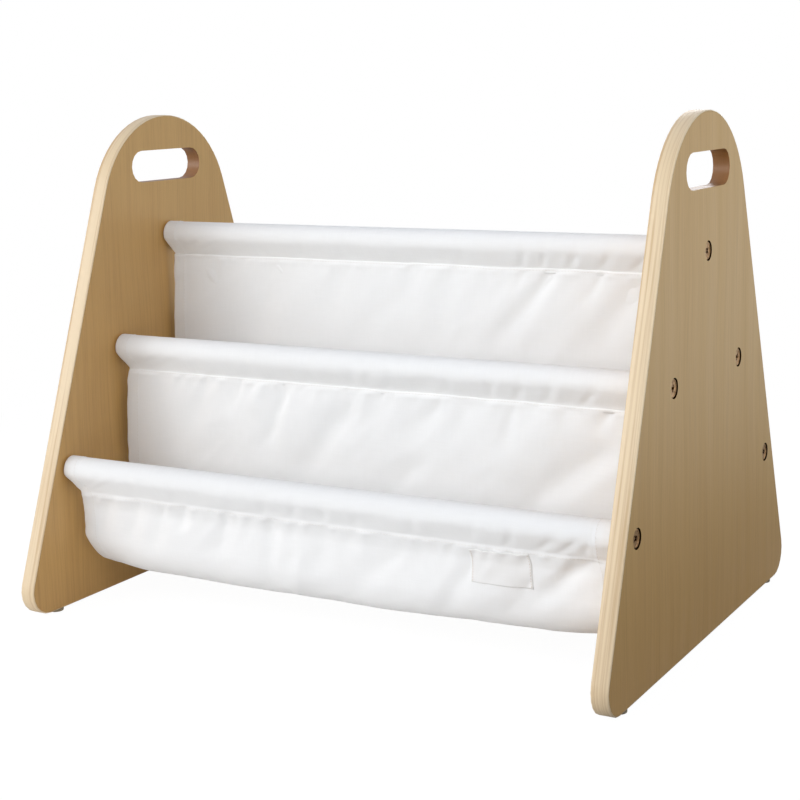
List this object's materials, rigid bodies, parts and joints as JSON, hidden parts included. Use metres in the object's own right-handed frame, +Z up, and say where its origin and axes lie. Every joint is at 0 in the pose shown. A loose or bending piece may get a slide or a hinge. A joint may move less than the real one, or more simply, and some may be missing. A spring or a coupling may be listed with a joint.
{
  "type": "sling bookshelf",
  "caption": "Free-standing double-sided child's book rack: two A-shaped wooden side panels with grip slots, bolted rods, and a cloth sling hung in pockets between them.",
  "frame": {"origin": "on the floor, under the middle of the rack", "axes": "+X along the rods towards the right panel, +Y towards the rear side, +Z up; the front, with the label, faces -Y"},
  "size_m": [0.58, 0.447, 0.458],
  "materials": {
    "maple_face": "printed maple foil on board, satin",
    "edge_band": "pale maple edge tape, satin",
    "dowel": "sanded hardwood, unfinished",
    "bronze_bolt": "antique bronze plating",
    "zinc_insert": "bright zinc plating",
    "sling_cloth": "plain woven polyester canvas, white",
    "label_tape": "cream cotton tape, bare",
    "foot_pad": "tan rubber, matt"
  },
  "bodies": {
    "root": {"left_side_panel": "maple_face", "left_edge_band": "edge_band", "right_side_panel": "maple_face", "right_edge_band": "edge_band", "top_rod": "dowel", "top_left_bolt": "bronze_bolt", "top_left_insert": "zinc_insert", "top_right_bolt": "bronze_bolt", "top_right_insert": "zinc_insert", "front_middle_rod": "dowel", "front_middle_left_bolt": "bronze_bolt", "front_middle_left_insert": "zinc_insert", "front_middle_right_bolt": "bronze_bolt", "front_middle_right_insert": "zinc_insert", "front_low_rod": "dowel", "front_low_left_bolt": "bronze_bolt", "front_low_left_insert": "zinc_insert", "front_low_right_bolt": "bronze_bolt", "front_low_right_insert": "zinc_insert", "rear_middle_rod": "dowel", "rear_middle_left_bolt": "bronze_bolt", "rear_middle_left_insert": "zinc_insert", "rear_middle_right_bolt": "bronze_bolt", "rear_middle_right_insert": "zinc_insert", "rear_low_rod": "dowel", "rear_low_left_bolt": "bronze_bolt", "rear_low_left_insert": "zinc_insert", "rear_low_right_bolt": "bronze_bolt", "rear_low_right_insert": "zinc_insert", "front_lower_pocket": "sling_cloth", "front_upper_pocket": "sling_cloth", "top_sleeve": "sling_cloth", "rear_upper_pocket": "sling_cloth", "rear_lower_pocket": "sling_cloth", "pocket_label": "label_tape", "front_left_foot": "foot_pad", "front_right_foot": "foot_pad", "rear_left_foot": "foot_pad", "rear_right_foot": "foot_pad"}
  },
  "joints": []
}
